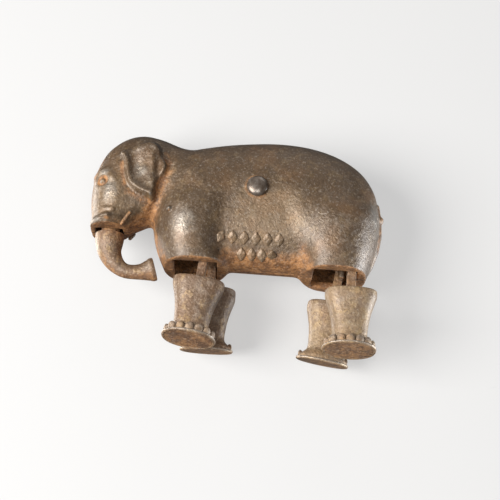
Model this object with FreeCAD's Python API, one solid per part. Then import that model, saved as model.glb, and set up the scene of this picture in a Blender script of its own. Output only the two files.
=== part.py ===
import FreeCAD, Part
import math
import os

V = FreeCAD.Vector

# ---------------------------------------------------------------------------
# Walking elephant: a hollow cast-iron body in two halves, held by one rivet.
# Four loose legs and a loose trunk hang from pins inside it.
# Millimetres. The head points to -X, the left side to -Y, up is +Z.
# The toy is drawn about the middle of its rivet, then moved so that the
# origin lies on the floor below the middle of its length.
# ---------------------------------------------------------------------------

RIVET_TO_ORIGIN = V(5.69, 0, 45.33)   # where the rivet's middle ends up

WALL = 1.8                          # thickness of the casting
STUMP_FLOOR = 2.0                   # thickness of the stumps' flat undersides

# body: x, half width, lowest z, highest z
BODY_SECTIONS = [
    (-29.0, 5.5, -12.0, 4.0),
    (-27.2, 8.2, -16.6, 9.0),
    (-22.0, 11.4, -19.8, 13.3),
    (-14.0, 12.5, -20.3, 15.6),
    (-4.0, 12.8, -20.3, 17.1),
    (6.0, 12.8, -20.3, 17.5),
    (15.0, 12.4, -20.3, 16.6),
    (23.0, 11.3, -20.3, 14.0),
    (29.0, 9.5, -19.9, 10.1),
    (33.2, 6.6, -18.2, 4.4),
    (35.2, 3.4, -14.6, -1.2),
]
BODY_SQUARENESS = 2.3

# head: z, front x, back x, half width
HEAD_SECTIONS = [
    (-11.7, -46.0, -34.6, 6.7),
    (-9.6, -46.2, -32.4, 7.4),
    (-5.5, -46.4, -28.0, 8.3),
    (0.0, -46.6, -22.0, 9.0),
    (6.0, -46.0, -19.0, 9.0),
    (11.0, -43.9, -18.6, 7.8),
    (14.6, -41.0, -21.0, 6.0),
    (17.0, -37.2, -25.5, 3.4),
]
HEAD_SQUARENESS = 2.4

# stumps, which the legs hang below
STUMP_BOTTOM = -21.4
STUMP_TOP = -6.0
STUMP_LENGTH = 16.6
STUMP_HALF_WIDTH = 11.5
STUMP_SQUARENESS = 2.6
STUMP_BEHIND_PIN = 3.9              # from the pin's x to the stump's rear end
SLOT_LENGTH = 12.0
SLOT_HALF_WIDTH = 7.7
SLOT_BEHIND_PIN = 1.5               # from the pin's x to the slot's rear end
SLOT_TOP = -5.0                     # the slot runs up to here, into the hollow body
HUB_ROOM_RADIUS = 2.8               # room inside the casting for a pair of leg hubs
HUB_ROOM_HALF_LENGTH = 7.6

# pins and rivet
FRONT_PIN = V(-11.2, 0, 0.4)
REAR_PIN = V(27.4, 0, 0.4)
TRUNK_PIN = V(-40.3, 0, -6.6)
PIN_RADIUS = 1.2
PIN_SEAT_GAP = 0.03                 # radial gap in the shells
PIN_BOSS_RADIUS = 2.4
PIN_HALF_LENGTH = {"front_leg_pin": 11.2, "rear_leg_pin": 9.2, "trunk_pin": 6.9}
PIN_SEAT_DEPTH = 1.6                # length of each pin's end inside its boss
RUNNING_GAP = 0.06                  # radial gap in the legs' and trunk's eyes
RIVET_RADIUS = 1.6
RIVET_HOLE_RADIUS = 1.65
RIVET_HEAD_RADIUS = 3.15
RIVET_HEAD_HEIGHT = 1.3
RIVET_BOSS_RADIUS = 3.6
RIVET_HEAD_SEAT = 12.95             # underside of each rivet head, from the parting plane

# webs between the legs of a pair
WEB_AHEAD_OF_PIN = 2.2
WEB_THICKNESS = 1.3
WEB_HALF_WIDTH = 1.4
WEB_HEIGHT = 36.0                   # reaches into the roof of the casting

# legs
LEG_TOP = -27.0                     # all heights from the pin's own z
LEG_WAIST = -39.6
LEG_SOLE = -43.8                    # at the sole's middle
SOLE_SLOPE = 9.0                    # degrees, outer edge higher
LEG_MIDDLE_Y = 6.3
FOOT_HALF_LENGTH = 7.15
LEG_HALF_WIDTH = 5.25
LEG_SQUARENESS = 2.7
SHANK_LENGTHWISE = 2.4
SHANK_OUTER_Y = 7.2
SHANK_INNER_Y = 3.4
HUB_INNER_Y = 1.8
EYE_RADIUS = 2.3

# angle at which each leg stands, in degrees forward of plumb
LEG_ANGLES = {
    "leg_front_left": 6.2,
    "leg_front_right": 0.0,
    "leg_rear_left": 0.0,
    "leg_rear_right": 8.2,
}

# how much lower each leg hangs than the drawing, because the castings vary
LEG_DROPS = {
    "leg_front_left": 0.0,
    "leg_front_right": -0.7,
    "leg_rear_left": 0.0,
    "leg_rear_right": 0.9,
}

# trunk: x, z, radius along its middle line, from the shoulder to the tip
TRUNK_LINE = [
    (-40.6, -12.6, 3.9),
    (-40.3, -15.6, 3.35),
    (-38.9, -19.0, 2.75),
    (-36.2, -21.5, 2.45),
    (-33.0, -22.6, 2.35),
    (-30.0, -22.5, 2.5),
    (-27.1, -21.8, 3.0),
]
TRUNK_NECK_RADIUS = 2.6
MOUTH_FRONT = 4.2                   # opening in the head's underside, from the trunk pin's x
MOUTH_BACK = 3.8
MOUTH_HALF_WIDTH = 3.7

# relief
EAR_OUTLINE = [(-37.0, 8.8), (-33.8, 11.4), (-29.8, 11.4), (-26.8, 9.2), (-25.6, 4.6),
               (-27.6, -0.5), (-29.6, -4.2), (-32.4, -3.0), (-35.6, 1.6), (-37.2, 6.0)]
EAR_RELIEF = 1.3
EYE_CENTRE = V(-42.6, 0, 1.0)
EYE_OUTER_RADIUS = 1.5
EYE_RELIEF = 0.5
TUSK_ROOT = V(-34.9, -7.4, -8.6)
TUSK_TIP = V(-37.4, -8.8, -12.8)
TUSK_ROOT_RADIUS = 0.8
TUSK_TIP_RADIUS = 0.25
TAIL_RELIEF = 0.8
TAIL_HALF_WIDTH = 1.3


def power(value, squareness):
    """Signed power that turns a circle's sine or cosine into a squarer oval's."""
    return math.copysign(abs(value) ** (2.0 / squareness), value)


def closed_curve(points):
    """One smooth closed wire through the points."""
    curve = Part.BSplineCurve()
    curve.interpolate(points, PeriodicFlag=True)
    return Part.Wire([curve.toShape()])


def upright_oval(x, half_width, low, high, squareness):
    """Cross-section of the body at x, in the YZ plane."""
    middle = (low + high) / 2
    half_height = (high - low) / 2
    points = []
    for step in range(20):
        turn = 2 * math.pi * step / 20
        y = half_width * power(math.cos(turn), squareness)
        z = middle + half_height * power(math.sin(turn), squareness)
        points.append(V(x, y, z))
    return closed_curve(points)


def flat_oval(z, front, back, middle_y, half_width, squareness):
    """Plan section of the head, a stump or a leg at height z."""
    middle = (front + back) / 2
    half_length = (back - front) / 2
    points = []
    for step in range(20):
        turn = 2 * math.pi * step / 20
        x = middle + half_length * power(math.cos(turn), squareness)
        y = middle_y + half_width * power(math.sin(turn), squareness)
        points.append(V(x, y, z))
    return closed_curve(points)


def body_form(grow=0.0):
    """The barrel of the body, grown or shrunk by a skin's thickness."""
    wires = []
    for x, half_width, low, high in BODY_SECTIONS:
        if grow < 0 and half_width < 6.0:
            continue
        wires.append(upright_oval(x, half_width + grow, low - grow, high + grow, BODY_SQUARENESS))
    return Part.makeLoft(wires, True, False)


def head_form(grow=0.0):
    """The head, with its flat underside."""
    wires = []
    for z, front, back, half_width in HEAD_SECTIONS:
        if grow < 0 and half_width < 5.0:
            continue
        z_grown = z
        if grow < 0 and z == HEAD_SECTIONS[0][0]:
            z_grown = z - grow
        wires.append(flat_oval(z_grown, front - grow, back + grow, 0, half_width + grow, HEAD_SQUARENESS))
    return Part.makeLoft(wires, True, False)


def stump_form(pin, grow=0.0, bottom=STUMP_BOTTOM):
    """One leg stump: an upright oval pillar below the body."""
    back = pin.x + STUMP_BEHIND_PIN + grow
    front = back - STUMP_LENGTH - 2 * grow
    wires = [flat_oval(z, front, back, 0, STUMP_HALF_WIDTH + grow, STUMP_SQUARENESS)
             for z in (bottom, STUMP_TOP)]
    return Part.makeLoft(wires, True, False)


def outer_form():
    """Everything the casting fills, before it is hollowed."""
    form = body_form()
    form = form.fuse(head_form())
    form = form.fuse(stump_form(FRONT_PIN))
    return form.fuse(stump_form(REAR_PIN))


def hollow_form():
    """The space inside the casting, with the leg slots and the mouth."""
    hollow = body_form(-WALL)
    hollow = hollow.fuse(head_form(-WALL))
    for pin in (FRONT_PIN, REAR_PIN):
        hollow = hollow.fuse(stump_form(pin, -WALL, STUMP_BOTTOM + STUMP_FLOOR))
    for pin in (FRONT_PIN, REAR_PIN):
        slot = Part.makeBox(SLOT_LENGTH, 2 * SLOT_HALF_WIDTH, SLOT_TOP - STUMP_BOTTOM + 1)
        slot.translate(V(pin.x + SLOT_BEHIND_PIN - SLOT_LENGTH, -SLOT_HALF_WIDTH, STUMP_BOTTOM - 1))
        hollow = hollow.fuse(slot).fuse(cross_bar(pin, HUB_ROOM_RADIUS, HUB_ROOM_HALF_LENGTH))
    mouth = Part.makeBox(MOUTH_FRONT + MOUTH_BACK, 2 * MOUTH_HALF_WIDTH, 2 * WALL + 1)
    mouth.translate(V(TRUNK_PIN.x - MOUTH_FRONT, -MOUTH_HALF_WIDTH, HEAD_SECTIONS[0][0] - 1))
    return hollow.fuse(mouth)


def cross_bar(centre, radius, half_length):
    """A round bar across the toy, centred on the parting plane."""
    return Part.makeCylinder(radius, 2 * half_length, V(centre.x, -half_length, centre.z), V(0, 1, 0))


def inner_bosses(outer):
    """Posts inside the casting that hold the rivet and the three pins."""
    posts = [cross_bar(V(0, 0, 0), RIVET_BOSS_RADIUS, 20)]
    for pin, length in ((FRONT_PIN, PIN_HALF_LENGTH["front_leg_pin"]),
                        (REAR_PIN, PIN_HALF_LENGTH["rear_leg_pin"]),
                        (TRUNK_PIN, PIN_HALF_LENGTH["trunk_pin"])):
        for side in (-1, 1):
            start = V(pin.x, side * (length - PIN_SEAT_DEPTH), pin.z)
            posts.append(Part.makeCylinder(PIN_BOSS_RADIUS, 4, start, V(0, side, 0)))
    return [post.common(outer) for post in posts]


def leg_webs(outer):
    """Thin upright webs on the parting plane, ahead of each leg pin."""
    webs = []
    for pin in (FRONT_PIN, REAR_PIN):
        web = Part.makeBox(WEB_THICKNESS, WEB_HALF_WIDTH, WEB_HEIGHT)
        web.translate(V(pin.x - WEB_AHEAD_OF_PIN - WEB_THICKNESS / 2, 0, STUMP_BOTTOM + STUMP_FLOOR))
        webs.append(web.common(outer))
    return webs


def relief(outer):
    """Ears, eyes, tusks and tail strip, each standing a little proud of the surface."""
    pieces = []
    ear_curve = closed_curve([V(x, 0, z) for x, z in EAR_OUTLINE])
    ear_face = Part.Face(ear_curve)
    ear_skin = head_form(EAR_RELIEF).fuse(body_form(EAR_RELIEF))
    for side in (-1, 1):
        ear = ear_face.extrude(V(0, side * 14, 0)).common(ear_skin)
        start = V(EYE_CENTRE.x, side * 5, EYE_CENTRE.z)
        eye = Part.makeCylinder(EYE_OUTER_RADIUS, 9, start, V(0, side, 0)).common(head_form(EYE_RELIEF))
        root = V(TUSK_ROOT.x, -side * TUSK_ROOT.y, TUSK_ROOT.z)
        tip = V(TUSK_TIP.x, -side * TUSK_TIP.y, TUSK_TIP.z)
        tusk = Part.makeCone(TUSK_ROOT_RADIUS, TUSK_TIP_RADIUS, (tip - root).Length, root, tip - root)
        pieces += [ear, eye, tusk]
    strip = Part.makeBox(8, 2 * TAIL_HALF_WIDTH, 15)
    strip.translate(V(30, -TAIL_HALF_WIDTH, -17))
    pieces.append(strip.common(body_form(TAIL_RELIEF)))
    return pieces


def shells():
    """The two half castings."""
    outer = outer_form()
    hollow = hollow_form()
    casting = outer
    for piece in relief(outer):
        casting = casting.fuse(piece)
    casting = casting.cut(hollow)
    for post in inner_bosses(outer):
        casting = casting.fuse(post)
    for pin, name in ((FRONT_PIN, "front_leg_pin"), (REAR_PIN, "rear_leg_pin"), (TRUNK_PIN, "trunk_pin")):
        casting = casting.cut(cross_bar(pin, PIN_RADIUS + PIN_SEAT_GAP, PIN_HALF_LENGTH[name] + PIN_SEAT_GAP))
    casting = casting.cut(cross_bar(V(0, 0, 0), RIVET_HOLE_RADIUS, 20))
    left_space = Part.makeBox(120, 40, 120, V(-60, -40, -60))
    right_space = Part.makeBox(120, 40, 120, V(-60, 0, -60))
    left = casting.common(left_space)
    right = casting.common(right_space)
    for web in leg_webs(outer):
        right = right.fuse(web)
    return {"shell_left": left, "shell_right": right}


def rivet():
    """Plain shank with a low dome on each end."""
    reach = RIVET_HEAD_SEAT
    piece = cross_bar(V(0, 0, 0), RIVET_RADIUS, reach + 0.2)
    ball_radius = (RIVET_HEAD_RADIUS ** 2 + RIVET_HEAD_HEIGHT ** 2) / (2 * RIVET_HEAD_HEIGHT)
    for side in (-1, 1):
        ball = Part.makeSphere(ball_radius, V(0, side * (reach + RIVET_HEAD_HEIGHT - ball_radius), 0))
        keep = Part.makeCylinder(2 * RIVET_HEAD_RADIUS, 10, V(0, side * reach, 0), V(0, side, 0))
        piece = piece.fuse(ball.common(keep))
    return piece


def leg(side, drop):
    """One leg, plumb below its pin at the drawing's centre; side is -1 for left."""
    middle_y = side * LEG_MIDDLE_Y
    sections = [
        (LEG_TOP, 6.5, 4.9),
        (LEG_TOP - 1.0, 7.1, LEG_HALF_WIDTH),
        (LEG_TOP - 6.0, 5.75, 4.9),
        (LEG_WAIST, 4.85, 4.5),
        (LEG_SOLE + 2.1, 6.0, 4.9),
        (LEG_SOLE + 0.9, FOOT_HALF_LENGTH, LEG_HALF_WIDTH),
        (LEG_SOLE - 1.2, FOOT_HALF_LENGTH, LEG_HALF_WIDTH),
    ]
    wires = [flat_oval(z - drop, -half_length, half_length, middle_y, half_width, LEG_SQUARENESS)
             for z, half_length, half_width in sections]
    block = Part.makeLoft(wires, True, False)
    below = Part.makeBox(40, 40, 10, V(-20, -20, -10))
    below.rotate(V(0, 0, 0), V(1, 0, 0), side * SOLE_SLOPE)
    below.translate(V(0, middle_y, LEG_SOLE - drop))
    block = block.cut(below)
    near = min(side * SHANK_INNER_Y, side * SHANK_OUTER_Y)
    width = SHANK_OUTER_Y - SHANK_INNER_Y
    shank_end = LEG_TOP - drop - 1
    shank = Part.makeBox(SHANK_LENGTHWISE, width, -shank_end, V(-SHANK_LENGTHWISE / 2, near, shank_end))
    hub_near = min(side * HUB_INNER_Y, side * SHANK_OUTER_Y)
    hub = Part.makeCylinder(EYE_RADIUS, SHANK_OUTER_Y - HUB_INNER_Y, V(0, hub_near, 0), V(0, 1, 0))
    piece = block.fuse(shank).fuse(hub)
    return piece.cut(cross_bar(V(0, 0, 0), PIN_RADIUS + RUNNING_GAP, 20))


def placed_leg(name):
    """A leg hung on its pin and swung to its standing angle."""
    side = -1 if name.endswith("left") else 1
    pin = FRONT_PIN if "front" in name else REAR_PIN
    piece = leg(side, LEG_DROPS[name])
    piece.rotate(V(0, 0, 0), V(0, 1, 0), LEG_ANGLES[name])
    piece.translate(pin)
    return piece


def trunk():
    """Curled trunk: round sections square to its middle line, a neck and an eye."""
    wires = []
    for number, (x, z, radius) in enumerate(TRUNK_LINE):
        before = TRUNK_LINE[max(number - 1, 0)]
        after = TRUNK_LINE[min(number + 1, len(TRUNK_LINE) - 1)]
        heading = V(after[0] - before[0], 0, after[1] - before[1])
        if number == 0:
            heading = V(0, 0, -1)
        wires.append(Part.Wire([Part.makeCircle(radius, V(x, 0, z), heading)]))
    piece = Part.makeLoft(wires, True, False)
    neck = Part.makeCylinder(TRUNK_NECK_RADIUS, TRUNK_PIN.z - TRUNK_LINE[0][1] + 0.6,
                             V(TRUNK_PIN.x, 0, TRUNK_LINE[0][1] - 0.6))
    eye = cross_bar(TRUNK_PIN, TRUNK_NECK_RADIUS, 3.2)
    piece = piece.fuse(neck).fuse(eye)
    return piece.cut(cross_bar(TRUNK_PIN, PIN_RADIUS + RUNNING_GAP, 20))


def main():
    os.makedirs("parts", exist_ok=True)
    pieces = shells()
    pieces["body_rivet"] = rivet()
    pieces["front_leg_pin"] = cross_bar(FRONT_PIN, PIN_RADIUS, PIN_HALF_LENGTH["front_leg_pin"])
    pieces["rear_leg_pin"] = cross_bar(REAR_PIN, PIN_RADIUS, PIN_HALF_LENGTH["rear_leg_pin"])
    pieces["trunk_pin"] = cross_bar(TRUNK_PIN, PIN_RADIUS, PIN_HALF_LENGTH["trunk_pin"])
    for name in LEG_ANGLES:
        pieces[name] = placed_leg(name)
    pieces["trunk"] = trunk()
    for name, piece in pieces.items():
        piece.translate(RIVET_TO_ORIGIN)
        piece.exportStep("parts/" + name + ".step")
        box = piece.BoundBox
        print(name, piece.isValid(), len(piece.Solids), round(piece.Volume, 1),
              [round(v, 2) for v in (box.XMin, box.XMax, box.YMin, box.YMax, box.ZMin, box.ZMax)])
    whole = Part.makeCompound(list(pieces.values())).BoundBox
    print("whole", [round(v, 2) for v in (whole.XMin, whole.XMax, whole.YMin, whole.YMax, whole.ZMin, whole.ZMax)])


main()
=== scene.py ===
import math
from collections import namedtuple

import bpy
import numpy as np
from mathutils import Matrix, Vector


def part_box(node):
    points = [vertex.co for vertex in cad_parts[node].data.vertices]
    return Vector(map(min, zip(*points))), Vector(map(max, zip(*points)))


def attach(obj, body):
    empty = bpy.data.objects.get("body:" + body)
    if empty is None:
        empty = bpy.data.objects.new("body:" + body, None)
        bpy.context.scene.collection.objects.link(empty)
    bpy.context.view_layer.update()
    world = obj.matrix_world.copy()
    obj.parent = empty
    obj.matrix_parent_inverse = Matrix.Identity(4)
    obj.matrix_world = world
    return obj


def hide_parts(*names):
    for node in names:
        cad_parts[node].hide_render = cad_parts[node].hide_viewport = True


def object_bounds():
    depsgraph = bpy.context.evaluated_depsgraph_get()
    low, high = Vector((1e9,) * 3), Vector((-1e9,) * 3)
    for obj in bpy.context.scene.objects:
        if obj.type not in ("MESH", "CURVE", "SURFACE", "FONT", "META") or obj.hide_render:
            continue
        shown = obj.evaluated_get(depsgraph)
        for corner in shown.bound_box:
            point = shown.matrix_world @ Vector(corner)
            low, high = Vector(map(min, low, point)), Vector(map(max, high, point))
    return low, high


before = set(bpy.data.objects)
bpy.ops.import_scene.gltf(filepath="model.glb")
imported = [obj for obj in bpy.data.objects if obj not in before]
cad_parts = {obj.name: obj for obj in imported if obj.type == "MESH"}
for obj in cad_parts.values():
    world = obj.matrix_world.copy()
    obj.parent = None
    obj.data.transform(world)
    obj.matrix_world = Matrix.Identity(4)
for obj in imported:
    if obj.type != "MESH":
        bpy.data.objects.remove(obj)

# Walking elephant: a hollow cast-iron body in two halves, four loose legs and
# a loose trunk. The castings are carved as fields of signed distance, in
# millimetres from the middle of the body rivet, and skinned into meshes.
# -X is the head's end, -Y the left side, +Z up.

CAD_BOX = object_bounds()
MM = 0.001


def middle(node):
    """Middle of a CAD node's box, in metres."""
    low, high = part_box(node)
    return (low + high) / 2


RIVET = middle("body_rivet")


def from_rivet(point):
    """A place in metres as millimetres from the rivet's middle."""
    return (Vector(point) - RIVET) / MM


def to_metres(point):
    """Millimetres from the rivet as a place in metres."""
    return Vector(point) * MM + RIVET


FRONT_PIN = from_rivet(middle("front_leg_pin"))
REAR_PIN = from_rivet(middle("rear_leg_pin"))
TRUNK_PIN = from_rivet(middle("trunk_pin"))

# the casting
WALL = 1.8
HALF_WIDTH = 12.9
BODY_ROUNDING = 18.9
SEAM = 0.05                 # each half stops this far short of the parting plane

BODY_OUTLINE = [
    (-28.6, 3.0), (-26.6, 9.2), (-21.5, 12.9), (-13.5, 15.2), (-4.0, 16.8), (6.0, 17.5), (15.0, 16.7),
    (23.0, 14.2), (29.5, 9.9), (33.4, 4.1), (34.7, -2.2), (34.8, -8.0), (34.0, -13.0), (32.2, -17.6),
    (29.2, -20.4), (20.0, -20.7), (0.0, -20.6), (-18.0, -20.4), (-23.6, -19.6), (-26.5, -15.4), (-28.2, -10.0),
    (-29.0, -4.0),
]
HEAD_OUTLINE = [
    (-45.5, -16.5), (-45.9, -9.0), (-46.5, -2.5), (-46.0, 4.2), (-43.8, 10.2), (-40.7, 13.9), (-36.9, 16.3),
    (-32.8, 17.2), (-28.4, 16.6), (-24.0, 15.1), (-19.0, 12.8), (-16.0, 8.0), (-18.0, -1.0), (-25.0, -6.5),
    (-28.6, -8.4), (-32.2, -9.9), (-35.2, -12.0), (-37.6, -16.5),
]
HEAD_HALF_WIDTH = 9.3
HEAD_ROUNDING = 9.5
HEAD_BOTTOM = -11.7

STUMP_BOTTOM = -21.4
STUMP_TOP = -3.0
STUMP_FLOOR = 2.0
STUMP_BEHIND_PIN = 3.9
STUMP_LENGTH = 16.4
STUMP_HALF_WIDTH = 11.4
SLOT_LENGTH = 12.0
SLOT_BEHIND_PIN = 1.5
SLOT_HALF_WIDTH = 7.7
SLOT_TOP = -5.0
HUB_ROOM_RADIUS = 2.8
HUB_ROOM_HALF_WIDTH = 7.6
MOUTH_AHEAD = 4.1
MOUTH_BEHIND = 3.6
MOUTH_HALF_WIDTH = 3.1
RIVET_POST = 3.6
RIVET_BORE = 1.65
PIN_POST = 2.4
PIN_SEAT = 1.23
SEAT_DEPTH = 1.65
WEB_FRONT = 2.85            # ahead of the pin
WEB_BACK = 1.55
WEB_REACH = 1.4

EAR_OUTLINE = [
    (-38.8, 8.9), (-37.8, 6.9), (-37.3, 4.6), (-36.9, 2.2), (-36.1, -0.2), (-34.5, -1.8), (-32.4, -3.0),
    (-30.3, -4.0), (-28.7, -4.6), (-28.1, -2.6), (-28.0, 0.3), (-27.4, 1.9), (-26.2, 2.9), (-25.5, 4.8),
    (-25.9, 6.6), (-27.2, 8.2), (-27.6, 10.3), (-28.9, 12.3), (-31.3, 12.9), (-33.9, 12.0), (-35.6, 10.3),
    (-37.2, 9.9),
]
EYE_PLACE = (-43.2, 0.7)
LEFT_TUSK = [(-34.6, -8.7, -8.6), (-35.7, -8.5, -10.3), (-36.8, -7.9, -11.9)]
RIGHT_TUSK = [(-34.6, -8.7, -8.6), (-35.5, -8.2, -10.1)]
TAIL = [(34.2, 1.0), (34.9, -3.0), (35.1, -8.0), (34.4, -12.6), (32.9, -17.0), (32.0, -18.8)]
PIT_PLACE = (-24.0, -7.9)

# legs
LEG_TOP = -27.0
LEG_SOLE = -43.8
LEG_MIDDLE_Y = 6.3
SOLE_SLOPE = math.radians(9.0)
FOOT_SQUARENESS = 2.2
SHANK_HALF = 1.2
SHANK_INNER_Y = 3.4
SHANK_OUTER_Y = 7.2
HUB_INNER_Y = 1.8
HUB_RADIUS = 2.3
PIN_ROOM = 1.26


# ---- Carving tools ----

def rounded_path(points, closed=True, steps=8):
    """Points along a smooth curve through the given ones."""
    points = np.array(points, float)
    ring = [points[-1:], points, points[:2]] if closed else [points[:1], points, points[-1:]]
    ring = np.vstack(ring)
    t = (np.arange(steps) / steps)[:, None]
    out = [0.5 * (2 * b + (c - a) * t + (2 * a - 5 * b + 4 * c - d) * t * t
                  + (3 * b - a - 3 * c + d) * t ** 3)
           for a, b, c, d in zip(ring, ring[1:], ring[2:], ring[3:])]
    return np.vstack(out if closed else out + [points[-1:]])


def run_gap(place, start, end):
    """Squared distance from places, given axis by axis, to a straight run."""
    run = np.subtract(end, start)
    away = [axis - first for axis, first in zip(place, start)]
    along = np.clip(sum(gap * part for gap, part in zip(away, run)) / (run @ run + 1e-12), 0, 1)
    return sum((gap - along * part) ** 2 for gap, part in zip(away, run))


def path_distance(place, points):
    """Distance from places, given axis by axis, to a chain of straight runs."""
    nearest = 1e9
    for start, end in zip(points[:-1], points[1:]):
        nearest = np.minimum(nearest, run_gap(place, start, end))
    return np.sqrt(nearest)


def outline_distance(x, z, points):
    """Signed distance, negative inside, from places on the side view to a closed outline."""
    ring = rounded_path(points)
    ring = np.vstack([ring, ring[:1]])
    inside = np.zeros(x.shape, bool)
    for (ax, az), (bx, bz) in zip(ring[:-1], ring[1:]):
        rise = bz - az if abs(bz - az) > 1e-9 else 1e-9
        inside ^= ((az > z) != (bz > z)) & (x < ax + (z - az) * (bx - ax) / rise)
    nearest = path_distance((x, z), ring)
    return np.where(inside, -nearest, nearest)


def ease(value, low, high):
    """0 below low, 1 above high, smooth between."""
    t = np.clip((value - low) / (high - low), 0, 1)
    return t * t * (3 - 2 * t)


def hill(x, z, centre, radii, turn=0.0):
    """Smooth mound on the side view: 1 at its centre, 0 past its radii."""
    dx, dz = x - centre[0], z - centre[1]
    across = dx * math.cos(turn) + dz * math.sin(turn)
    up = dz * math.cos(turn) - dx * math.sin(turn)
    return ease(1 - np.sqrt((across / radii[0]) ** 2 + (up / radii[1]) ** 2), 0, 1)


def join(a, b, soft):
    """Union of two fields with a fillet."""
    t = np.clip(0.5 + 0.5 * (b - a) / soft, 0, 1)
    return b + (a - b) * t - soft * t * (1 - t)


def meet(a, b, soft):
    """Intersection of two fields with a rounded edge."""
    return -join(-a, -b, soft)


def pillow(outline, side, half_width, rounding, squareness, step):
    """A side outline blown up to a rounded solid, as a field of distance."""
    swell = np.maximum(1 + outline / rounding, 0)
    value = (swell ** squareness + (side / half_width) ** squareness) ** (1 / squareness) - 1
    slopes = np.gradient(value, step)
    steepness = np.sqrt(sum(slope * slope for slope in slopes))
    return value / np.maximum(steepness, 0.02)


def block(x, y, z, low, high):
    """Distance to a box between two corners."""
    gaps = [np.maximum(start - axis, axis - end) for axis, start, end in zip((x, y, z), low, high)]
    return np.maximum(np.maximum(gaps[0], gaps[1]), gaps[2])


def oval(u, v, half_u, half_v, squareness):
    """Distance to a squarish oval, in its own plane."""
    value = ((np.abs(u) / half_u) ** squareness + (np.abs(v) / half_v) ** squareness) ** (1 / squareness)
    return (value - 1) * np.minimum(half_u, half_v)


def grid(low, high, step):
    """Axes of a block of places, shaped so that they broadcast."""
    return np.ix_(*(np.arange(start, end + step, step) for start, end in zip(low, high)))


def sample(field, places):
    """Field values at places given in grid steps."""
    places = np.clip(places, 0, np.array(field.shape) - 1.001)
    base = places.astype(int)
    part = places - base
    total = np.zeros(len(places))
    for corner in np.ndindex(2, 2, 2):
        weight = np.abs(1 - np.array(corner) - part).prod(axis=1)
        total += weight * field[tuple((base + corner).T)]
    return total


def slope(field, places):
    """Gradient of the field at places given in grid steps."""
    nudges = np.eye(3) / 2
    return np.stack([sample(field, places + nudge) - sample(field, places - nudge) for nudge in nudges], 1)


def skin(field):
    """Closed skin of quads where the field crosses zero, in grid steps."""
    cells = np.array(field.shape) - 1
    total = np.zeros((cells.prod(), 3))
    hits = np.zeros(cells.prod())
    strides = np.array([cells[1] * cells[2], cells[2], 1])
    quads = []
    for axis in range(3):
        first = np.take(field, range(field.shape[axis] - 1), axis)
        second = np.take(field, range(1, field.shape[axis]), axis)
        edges = np.argwhere((first < 0) != (second < 0))
        a = first[tuple(edges.T)]
        b = second[tuple(edges.T)]
        crossing = edges.astype(float)
        crossing[:, axis] += a / (a - b)
        u, v = (axis + 1) % 3, (axis + 2) % 3
        around = []
        for du, dv in ((0, 0), (1, 0), (1, 1), (0, 1)):
            cell = edges.copy()
            cell[:, u] -= du
            cell[:, v] -= dv
            index = cell @ strides
            around.append(index)
            hits += np.bincount(index, minlength=len(hits))
            for part in range(3):
                total[:, part] += np.bincount(index, crossing[:, part], len(hits))
        ring = np.stack(around, 1)
        ring[a >= 0] = ring[a >= 0][:, ::-1]
        quads.append(ring)
    used = np.flatnonzero(hits)
    number = np.full(len(hits), -1)
    number[used] = np.arange(len(used))
    places = total[used] / hits[used, None]
    for _ in range(3):
        value = sample(field, places)
        rise = slope(field, places)
        steep = np.maximum((rise * rise).sum(1), 0.02)
        pull = np.clip(value / steep, -0.4, 0.4)
        places -= rise * pull[:, None]
    return places, number[np.concatenate(quads)]


def skinned(field, corner, step):
    """Skin of a field: its places in grid steps and in millimetres, its faces and its outward directions."""
    steps, faces = skin(field)
    rise = slope(field, steps)
    facing = rise / np.maximum(np.linalg.norm(rise, axis=1), 1e-6)[:, None]
    return steps, steps * step + np.array(corner), faces, facing


def roundness(field, places, reach):
    """How proud or sunk the surface is over a reach of grid steps: above 0 on edges, below 0 in hollows."""
    nudges = reach * np.vstack([-np.eye(3), np.eye(3)])
    return sum(sample(field, places + nudge) for nudge in nudges) / 6 / reach


def in_scene(name, data):
    """A new object in the scene."""
    made = bpy.data.objects.new(name, data)
    bpy.context.scene.collection.objects.link(made)
    return made


def put_marks(piece, marks):
    """Writes the finish's attributes on the vertices of a piece, with the usual value where none is given."""
    for mark, usual in (("rust", 0.3), ("wear_and_highlight", 0.0), ("deep", 0.0), ("pale", 0.5)):
        layer = piece.data.attributes.new(mark, "FLOAT", "POINT")
        values = marks.get(mark, usual) + np.zeros(len(piece.data.vertices))
        layer.data.foreach_set("value", values.astype(np.float32))


def as_piece(name, drawn, faces, marks, finish):
    """A smooth piece from places in millimetres from the rivet, with its marks."""
    places = drawn * MM + np.array(RIVET)
    mesh = bpy.data.meshes.new(name)
    mesh.vertices.add(len(places))
    mesh.vertices.foreach_set("co", places.astype(np.float32).ravel())
    mesh.loops.add(faces.size)
    mesh.loops.foreach_set("vertex_index", faces.ravel().astype(np.int32))
    mesh.polygons.add(len(faces))
    mesh.polygons.foreach_set("loop_start", np.arange(0, faces.size, 4, dtype=np.int32))
    mesh.polygons.foreach_set("loop_total", np.full(len(faces), 4, np.int32))
    mesh.update(calc_edges=True)
    mesh.validate()
    mesh.polygons.foreach_set("use_smooth", np.full(len(mesh.polygons), True))
    mesh.materials.append(finish)
    piece = in_scene(name, mesh)
    put_marks(piece, marks)
    return piece


# ---- The two half castings ----

SHELL_STEP = 0.35
SHELL_LOW = (-48.2, -15.3, -23.2)
SHELL_HIGH = (37.6, 0.9, 19.6)


def side_view(x, z):
    """Flat arrays of x and z over the side view."""
    return np.broadcast_arrays(x[:, 0, :], z[:, 0, :])


def barrel_field(x, side, z):
    """Body without its stumps and relief."""
    outline = outline_distance(*side_view(x, z), BODY_OUTLINE)
    return pillow(outline[:, None, :], side, HALF_WIDTH, BODY_ROUNDING, 2.25, SHELL_STEP)


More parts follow.
